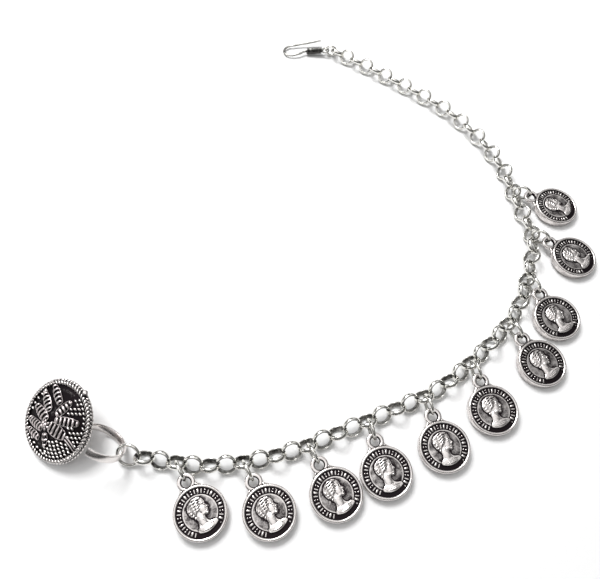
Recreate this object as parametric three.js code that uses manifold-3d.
// Nose ring in oxidised silver, laid out on a flat surface: a round leaf-pattern disc with a band hoop,
// a belcher chain hung with coins, and a fish-hook hair wire. Millimetres and degrees, +Z up.
import * as THREE from 'three';
import { mergeVertices } from 'three/addons/utils/BufferGeometryUtils.js';
import Module from 'manifold-3d';

const wasm = await Module();
wasm.setup();

// Chain of half-round links, rolled to either side in turn
const LINK_OUTER_RADIUS = 2.58;
const LINK_INNER_RADIUS = 1.985;
const LINK_WIDTH = 1.3;
const LINK_FLAT = 0.6;
const LINK_SHOULDER = 0.3;
const LINK_SIDES = 10;
const LINK_PITCH = 3.8;
const LINK_ROLL = 45;
const CHAIN_HEIGHT = 2.08;
const FIRST_LINK = { x: -43.6, y: -62.45, heading: -8 };
// Course of the chain over the floor: in each stretch every link turns by the same angle, left is positive
const COURSE = [
  { links: 3, turn: 0 },
  { links: 2, turn: 6 },
  { links: 6, turn: 3 },
  { links: 7, turn: 0.2 },
  { links: 3, turn: 5 },
  { links: 5, turn: 1.6 },
  { links: 3, turn: 6 },
  { links: 4, turn: 2.5 },
  { links: 3, turn: 10 },
  { links: 3, turn: -2.5 },
  { links: 3, turn: 5 },
  { links: 8, turn: 3.4 },
  { links: 10, turn: 0.7 },
];

// Coins, each hung by a jump ring and lying with its far rim on the floor
const COIN_RADIUS = 6;
const COIN_HALF = 1;
const COIN_SIDES = 16;
const COIN_RIM = 0.6;
const COIN_BAND_DEPTH = 0.45;
const COIN_FIELD_RADIUS = 3.8;
const COIN_FIELD_DEPTH = 0.25;
const COIN_LOOP = { offset: 7.3, radius: 1.72, half: 0.37, sides: 10 };
const COIN_BAR = COIN_LOOP.offset + COIN_LOOP.radius;
const BUST_TOP = 1.15;
const COIN_RING = { radius: 2.3, half: 0.4, out: 2.4, height: 3.05, sides: 10 };
const COIN_SEAT = 1.2;
const COINS = [
  { link: 3, hang: -60, tilt: 6 },
  { link: 7, hang: -60, tilt: 5.5 },
  { link: 11, hang: -60, tilt: 6 },
  { link: 15, hang: -73, tilt: 5.5 },
  { link: 19, hang: -74, tilt: 6 },
  { link: 23, hang: -73, tilt: 6.5 },
  { link: 27, hang: -58, tilt: 6 },
  { link: 31, hang: -64, tilt: 6 },
  { link: 35, hang: -36, tilt: 6 },
  { link: 39, hang: -24, tilt: 6 },
];
// Outline of a plain classical bust in profile, up towards the loop
const BUST = [
  { x: 1.45, y: 2.7 },
  { x: 1.75, y: 1.6 },
  { x: 1.62, y: 1.25 },
  { x: 2.25, y: 0.55 },
  { x: 1.85, y: 0.3 },
  { x: 1.8, y: -0.3 },
  { x: 1.45, y: -0.9 },
  { x: 0.65, y: -0.75 },
  { x: 0.8, y: -2 },
  { x: 2.9, y: -3.1 },
  { x: 0.4, y: -4.3 },
  { x: -2, y: -3.5 },
  { x: -1.1, y: -2.2 },
  { x: -1.2, y: -0.9 },
  { x: -2.2, y: 0.2 },
  { x: -2.3, y: 1.7 },
  { x: -1.2, y: 3 },
  { x: 0.5, y: 3.35 },
];

// Nose disc: flat back, domed front, twisted-wire border and ribbed leaves
const DISC = { x: -63.3, y: -54.65, radius: 9.75, tilt: 29, facing: 221, sides: 24 };
const DOME_RADIUS = 8.7;
const DOME_EDGE = 0.9;
const DOME_RISE = 1.6;
const ROPE = { radius: 9.03, half: 0.72, strands: 2, twists: 14, sides: 5, stations: 42, depth: 0.16 };
const LEAF_RISE = 0.6;
const LEAF_ROOT = 0.5;
const LEAVES = [
  { x: -1.5, y: 0.4, heading: 136, length: 5.2, width: 2.6 },
  { x: -0.6, y: 1.9, heading: 118, length: 5.3, width: 2.2 },
  { x: 2.1, y: 3.75, heading: 120, length: 5.2, width: 1.8 },
  { x: -3, y: -1.3, heading: 150, length: 5.4, width: 2.3 },
  { x: -4.5, y: -3, heading: 146, length: 4.4, width: 1.8 },
  { x: -0.9, y: -0.8, heading: -34, length: 5.1, width: 3 },
  { x: 1.2, y: 1.35, heading: 37, length: 4.5, width: 2 },
  { x: 0.9, y: 0.3, heading: -12, length: 6, width: 2 },
  { x: 3.1, y: -3.5, heading: -59, length: 4, width: 1 },
  { x: -2.2, y: -2.4, heading: -100, length: 2.8, width: 1.6 },
];
const LEAF_STATIONS = 6;
const BEAD = { radius: 0.85, angle: 37, offset: 9.6 };

// Hoop: a springy flat band, soldered to the disc's back at one end and free at the other
const HOOP = { x: -52.95, y: -59.75, height: 5.3, radius: 5.5, half: 0.28, width: 1.8, sides: 26 };
const HOOP_AXIS = { heading: 50, rise: 36 };
const HOOP_GAP = { from: 200, to: 280 };
const HOOP_JUMP_RING = { radius: 2.6, half: 0.4, behind: 3.65, height: 2.5, sides: 12 };

// Hair hook: fish-hook wire with an end loop and a coil wrapped round its shank
const HOOK_RING = { radius: 1.75, half: 0.33, ahead: 2.4, turn: 8, sides: 10 };
const HOOK_LOOP = { radius: 1.05, half: 0.33, ahead: 1.95, turn: 24, height: 1.95, sides: 10 };
const HOOK = { heading: 176, slope: 5.2, half: 0.36, sides: 5, steps: 20 };
const HOOK_COIL = { from: 1.3, to: 6.3, half: 0.92, valley: 0.72, turns: 4, sides: 8 };
const HOOK_WIRE = [
  { along: 0.9, across: 0 },
  { along: 3.5, across: 0 },
  { along: 6.6, across: -0.1 },
  { along: 9.2, across: -1.5 },
  { along: 11.6, across: -2 },
  { along: 13.6, across: -1.2 },
  { along: 14.2, across: 0.6 },
  { along: 13.2, across: 2.2 },
  { along: 10.8, across: 3 },
  { along: 6.5, across: 3.9 },
  { along: 1.8, across: 5 },
];

const rad = THREE.MathUtils.degToRad;

function heading(degrees) {
  return new THREE.Vector3(Math.cos(rad(degrees)), Math.sin(rad(degrees)), 0);
}

// Closed solid of a three.js shape, turned the right way out
function solid(geometry) {
  geometry.deleteAttribute('normal');
  geometry.deleteAttribute('uv');
  const merged = mergeVertices(geometry, 1e-4);
  const place = merged.attributes.position;
  const index = merged.index.array;
  const corner = [new THREE.Vector3(), new THREE.Vector3(), new THREE.Vector3()];
  const faces = [];
  let volume = 0;
  for (let i = 0; i < index.length; i += 3) {
    const [a, b, c] = index.slice(i, i + 3);
    if (a === b || b === c || c === a) continue;
    faces.push([a, b, c]);
    corner[0].fromBufferAttribute(place, a);
    corner[1].fromBufferAttribute(place, b);
    corner[2].fromBufferAttribute(place, c);
    volume += corner[0].dot(corner[1].cross(corner[2]));
  }
  const ordered = volume < 0 ? faces.map(([a, b, c]) => [a, c, b]) : faces;
  return new wasm.Manifold(new wasm.Mesh({
    numProp: 3,
    vertProperties: new Float32Array(place.array),
    triVerts: new Uint32Array(ordered.flat()),
  }));
}

function fuse(geometries) {
  return geometries.map(solid).reduce((whole, piece) => whole.add(piece));
}

function geometryOf(body) {
  const mesh = body.getMesh();
  const geometry = new THREE.BufferGeometry();
  geometry.setAttribute('position', new THREE.BufferAttribute(new Float32Array(mesh.vertProperties), 3));
  geometry.setIndex(new THREE.BufferAttribute(new Uint32Array(mesh.triVerts), 1));
  return geometry;
}

// Ring of round wire about the Y axis
function wireRing({ radius, half, sides }, wireSides = 5) {
  const section = [];
  for (let i = 0; i <= wireSides; i += 1) {
    const turn = (2 * Math.PI * (i % wireSides)) / wireSides;
    section.push(new THREE.Vector2(radius - half * Math.cos(turn), -half * Math.sin(turn)));
  }
  return new THREE.LatheGeometry(section, sides, -Math.PI / 2);
}

// Ring lying flat, turned about its own travel direction and set at a point
function placeRing(geometry, at, direction, roll) {
  geometry.rotateX(Math.PI / 2);
  geometry.rotateX(rad(roll));
  geometry.rotateZ(rad(direction));
  geometry.translate(at.x, at.y, at.z);
  return geometry;
}

function linkGeometry() {
  const shoulder = LINK_INNER_RADIUS + LINK_SHOULDER;
  const section = [
    new THREE.Vector2(LINK_INNER_RADIUS, -LINK_FLAT / 2),
    new THREE.Vector2(shoulder, -LINK_WIDTH / 2),
    new THREE.Vector2(LINK_OUTER_RADIUS, 0),
    new THREE.Vector2(shoulder, LINK_WIDTH / 2),
    new THREE.Vector2(LINK_INNER_RADIUS, LINK_FLAT / 2),
    new THREE.Vector2(LINK_INNER_RADIUS, -LINK_FLAT / 2),
  ];
  return new THREE.LatheGeometry(section, LINK_SIDES, Math.PI / LINK_SIDES - Math.PI / 2);
}

// Centre and heading of every link along the course
function chainPlaces() {
  const places = [];
  const at = new THREE.Vector3(FIRST_LINK.x, FIRST_LINK.y, CHAIN_HEIGHT);
  let last = FIRST_LINK.heading;
  for (const { links, turn } of COURSE) {
    for (let i = 0; i < links; i += 1) {
      const next = last + turn;
      places.push({ at: at.clone(), heading: (last + next) / 2 });
      at.addScaledVector(heading(next), LINK_PITCH);
      last = next;
    }
  }
  return places;
}

function chainGeometry(places) {
  const links = places.map((place, i) => {
    const roll = i % 2 === 0 ? -LINK_ROLL : LINK_ROLL;
    return placeRing(linkGeometry(), place.at, place.heading, roll);
  });
  return geometryOf(fuse(links));
}

function coinGeometry() {
  const rimInside = COIN_RADIUS - COIN_RIM;
  const profile = [
    new THREE.Vector2(0, -COIN_HALF),
    new THREE.Vector2(COIN_RADIUS, -COIN_HALF),
    new THREE.Vector2(COIN_RADIUS, COIN_HALF),
    new THREE.Vector2(rimInside, COIN_HALF),
    new THREE.Vector2(rimInside, COIN_HALF - COIN_BAND_DEPTH),
    new THREE.Vector2(COIN_FIELD_RADIUS, COIN_HALF - COIN_FIELD_DEPTH),
    new THREE.Vector2(0, COIN_HALF - COIN_FIELD_DEPTH),
  ];
  const body = new THREE.LatheGeometry(profile, COIN_SIDES).rotateX(Math.PI / 2);
  const loop = wireRing(COIN_LOOP).rotateX(Math.PI / 2).translate(0, COIN_LOOP.offset, 0);
  const outline = new THREE.Shape(BUST.map(({ x, y }) => new THREE.Vector2(x, y)));
  const bust = new THREE.ExtrudeGeometry(outline, { depth: BUST_TOP, bevelEnabled: false });
  return geometryOf(fuse([body, loop, bust]));
}

// Coin and its jump ring, hung on a link in the vertical plane of the hang direction
function hungCoin(coin, link, { hang, tilt }) {
  const lean = rad(tilt);
  const height = COIN_RADIUS * Math.sin(lean) + COIN_HALF * Math.cos(lean);
  const barDrop = COIN_RING.height - (height + COIN_BAR * Math.sin(lean));
  const barOut = COIN_RING.out + Math.sqrt(COIN_SEAT ** 2 - barDrop ** 2);
  const coinOut = barOut + COIN_BAR * Math.cos(lean);
  const charm = coin.clone();
  charm.rotateZ(Math.PI / 2);
  charm.rotateY(lean);
  charm.translate(coinOut, 0, height);
  const ring = geometryOf(solid(wireRing(COIN_RING)));
  ring.translate(COIN_RING.out, 0, COIN_RING.height);
  for (const piece of [charm, ring]) {
    piece.rotateZ(rad(hang));
    piece.translate(link.at.x, link.at.y, 0);
  }
  return { charm, ring };
}

function domeHeight(x, y) {
  return DOME_EDGE + DOME_RISE * (1 - (x * x + y * y) / DOME_RADIUS ** 2);
}

function leafGeometry({ x, y, heading: turn, length, width }) {
  const leaf = new THREE.BoxGeometry(width, length, 2, 1, LEAF_STATIONS, 1);
  leaf.translate(0, length / 2, 0);
  const place = leaf.attributes.position;
  const spin = rad(turn - 90);
  for (let i = 0; i < place.count; i += 1) {
    const along = place.getY(i) / length;
    const ribbed = Math.round(along * LEAF_STATIONS) % 2 === 0 ? 0.6 : 1;
    const breadth = Math.sqrt(Math.sin(Math.PI * (0.12 + 0.84 * along)));
    const across = place.getX(i) * breadth;
    const px = x + across * Math.cos(spin) - place.getY(i) * Math.sin(spin);
    const py = y + across * Math.sin(spin) + place.getY(i) * Math.cos(spin);
    const lift = place.getZ(i) > 0 ? LEAF_RISE * ribbed : -LEAF_ROOT;
    place.setXYZ(i, px, py, domeHeight(px, py) + lift);
  }
  return leaf;
}

// Border of twisted wire
function ropeGeometry() {
  const rope = new THREE.TorusGeometry(ROPE.radius, ROPE.half, ROPE.sides, ROPE.stations);
  const place = rope.attributes.position;
  for (let i = 0; i < place.count; i += 1) {
    const around = (2 * Math.PI * (i % (ROPE.stations + 1))) / ROPE.stations;
    const over = (2 * Math.PI * Math.floor(i / (ROPE.stations + 1))) / ROPE.sides;
    const swell = 1 - ROPE.depth + ROPE.depth * Math.cos(ROPE.strands * over + ROPE.twists * around);
    const reach = ROPE.radius + ROPE.half * swell * Math.cos(over);
    const z = ROPE.half * (1 + swell * Math.sin(over));
    place.setXYZ(i, reach * Math.cos(around), reach * Math.sin(around), z);
  }
  return rope;
}

// Band hoop about its own axis, with the free gap cut out beside the disc
function hoopSolid() {
  const inside = HOOP.radius - HOOP.half;
  const outside = HOOP.radius + HOOP.half;
  const section = [
    new THREE.Vector2(inside, -HOOP.width / 2),
    new THREE.Vector2(outside, -HOOP.width / 2),
    new THREE.Vector2(outside, HOOP.width / 2),
    new THREE.Vector2(inside, HOOP.width / 2),
    new THREE.Vector2(inside, -HOOP.width / 2),
  ];
  const axis = heading(HOOP_AXIS.heading).multiplyScalar(Math.cos(rad(HOOP_AXIS.rise)));
  axis.z = Math.sin(rad(HOOP_AXIS.rise));
  const level = new THREE.Vector3(axis.y, -axis.x, 0).normalize();
  const steep = new THREE.Vector3().crossVectors(axis, level);
  const frame = new THREE.Matrix4().makeBasis(level, steep, axis);
  frame.setPosition(HOOP.x, HOOP.y, HOOP.height);
  const band = new THREE.LatheGeometry(section, HOOP.sides).rotateX(Math.PI / 2);
  const middle = (HOOP_GAP.from + HOOP_GAP.to) / 2;
  const spread = 2 * HOOP.radius * Math.sin(rad(HOOP_GAP.to - HOOP_GAP.from) / 2);
  const gap = new THREE.BoxGeometry(HOOP.radius * 2, spread, HOOP.width * 2);
  gap.translate(HOOP.radius * 1.3, 0, 0);
  gap.rotateZ(rad(middle));
  return solid(band.applyMatrix4(frame)).subtract(solid(gap.applyMatrix4(frame)));
}

function noseRingGeometry() {
  const profile = [new THREE.Vector2(0, 0), new THREE.Vector2(ROPE.radius, 0)];
  for (const share of [1, 0.65, 0]) {
    const reach = share === 1 ? ROPE.radius : DOME_RADIUS * share;
    profile.push(new THREE.Vector2(reach, domeHeight(Math.min(reach, DOME_RADIUS), 0)));
  }
  const disc = new THREE.LatheGeometry(profile, DISC.sides).rotateX(Math.PI / 2);
  const bead = new THREE.SphereGeometry(BEAD.radius, 8, 6);
  bead.translate(BEAD.offset * Math.cos(rad(BEAD.angle)), BEAD.offset * Math.sin(rad(BEAD.angle)), BEAD.radius);
  const facing = heading(DISC.facing);
  const hinge = new THREE.Vector3(-facing.y, facing.x, 0);
  const tilt = new THREE.Matrix4().makeRotationAxis(hinge, rad(DISC.tilt));
  tilt.setPosition(DISC.x, DISC.y, DISC.radius * Math.sin(rad(DISC.tilt)));
  const pieces = [disc, ropeGeometry(), ...LEAVES.map(leafGeometry), bead];
  const face = fuse(pieces.map((piece) => piece.applyMatrix4(tilt)));
  return geometryOf(face.add(hoopSolid()));
}

function hoopRingGeometry() {
  const back = heading(FIRST_LINK.heading).multiplyScalar(-HOOP_JUMP_RING.behind);
  const at = new THREE.Vector3(FIRST_LINK.x + back.x, FIRST_LINK.y + back.y, HOOP_JUMP_RING.height);
  return geometryOf(solid(placeRing(wireRing(HOOP_JUMP_RING), at, FIRST_LINK.heading, LINK_ROLL)));
}

// Ribbed sleeve of wire wrapped round the shank, along X
function coilGeometry() {
  const pitch = (HOOK_COIL.to - HOOK_COIL.from) / HOOK_COIL.turns;
  const profile = [new THREE.Vector2(0, HOOK_COIL.from)];
  for (let i = 0; i < HOOK_COIL.turns; i += 1) {
    const start = HOOK_COIL.from + i * pitch;
    profile.push(new THREE.Vector2(HOOK_COIL.valley, start));
    profile.push(new THREE.Vector2(HOOK_COIL.half, start + pitch / 2));
  }
  profile.push(new THREE.Vector2(HOOK_COIL.valley, HOOK_COIL.to));
  profile.push(new THREE.Vector2(0, HOOK_COIL.to));
  return new THREE.LatheGeometry(profile, HOOK_COIL.sides).rotateZ(-Math.PI / 2);
}

function hookPieces(lastLink) {
  const ringAt = lastLink.at.clone().addScaledVector(heading(lastLink.heading + HOOK_RING.turn), HOOK_RING.ahead);
  const ringTurn = lastLink.heading + HOOK_LOOP.turn;
  const ring = geometryOf(solid(placeRing(wireRing(HOOK_RING), ringAt, ringTurn, 90)));
  const loopAt = ringAt.clone().addScaledVector(heading(ringTurn), HOOK_LOOP.ahead);
  loopAt.z = HOOK_LOOP.height;
  const loop = wireRing(HOOK_LOOP).rotateX(Math.PI / 2);
  const section = new THREE.Shape();
  for (let i = 0; i < HOOK.sides; i += 1) {
    const turn = (2 * Math.PI * i) / HOOK.sides;
    const point = [HOOK.half * Math.cos(turn), HOOK.half * Math.sin(turn)];
    if (i === 0) section.moveTo(...point);
    else section.lineTo(...point);
  }
  const route = HOOK_WIRE.map(({ along, across }) => new THREE.Vector3(along, -across, 0));
  const path = new THREE.CatmullRomCurve3(route);
  const wire = new THREE.ExtrudeGeometry(section, { steps: HOOK.steps, extrudePath: path });
  const pieces = [loop, coilGeometry(), wire];
  for (const piece of pieces) {
    piece.rotateY(rad(HOOK.slope));
    piece.rotateZ(rad(HOOK.heading));
    piece.translate(loopAt.x, loopAt.y, loopAt.z);
  }
  return { ring, hook: geometryOf(fuse(pieces)) };
}

const jewel = new THREE.Group();
jewel.name = 'nose_ring_with_chain';

function addNode(name, geometry, colour) {
  geometry.computeVertexNormals();
  const material = new THREE.MeshStandardMaterial({ color: colour, metalness: 0.9, roughness: 0.35 });
  const mesh = new THREE.Mesh(geometry, material);
  mesh.name = name;
  jewel.add(mesh);
}

const SILVER = 0xb9b9b6;
const OXIDISED = 0x8d8b89;
const places = chainPlaces();
const coin = coinGeometry();
addNode('nose_ring', noseRingGeometry(), OXIDISED);
addNode('hoop_jump_ring', hoopRingGeometry(), SILVER);
addNode('chain', chainGeometry(places), SILVER);
COINS.forEach((row, i) => {
  const number = String(i + 1).padStart(2, '0');
  const { charm, ring } = hungCoin(coin, places[row.link - 1], row);
  addNode(`coin_${number}`, charm, OXIDISED);
  addNode(`coin_ring_${number}`, ring, SILVER);
});
const { ring: hookRing, hook } = hookPieces(places[places.length - 1]);
addNode('hook_jump_ring', hookRing, SILVER);
addNode('hair_hook', hook, SILVER);

export default jewel;
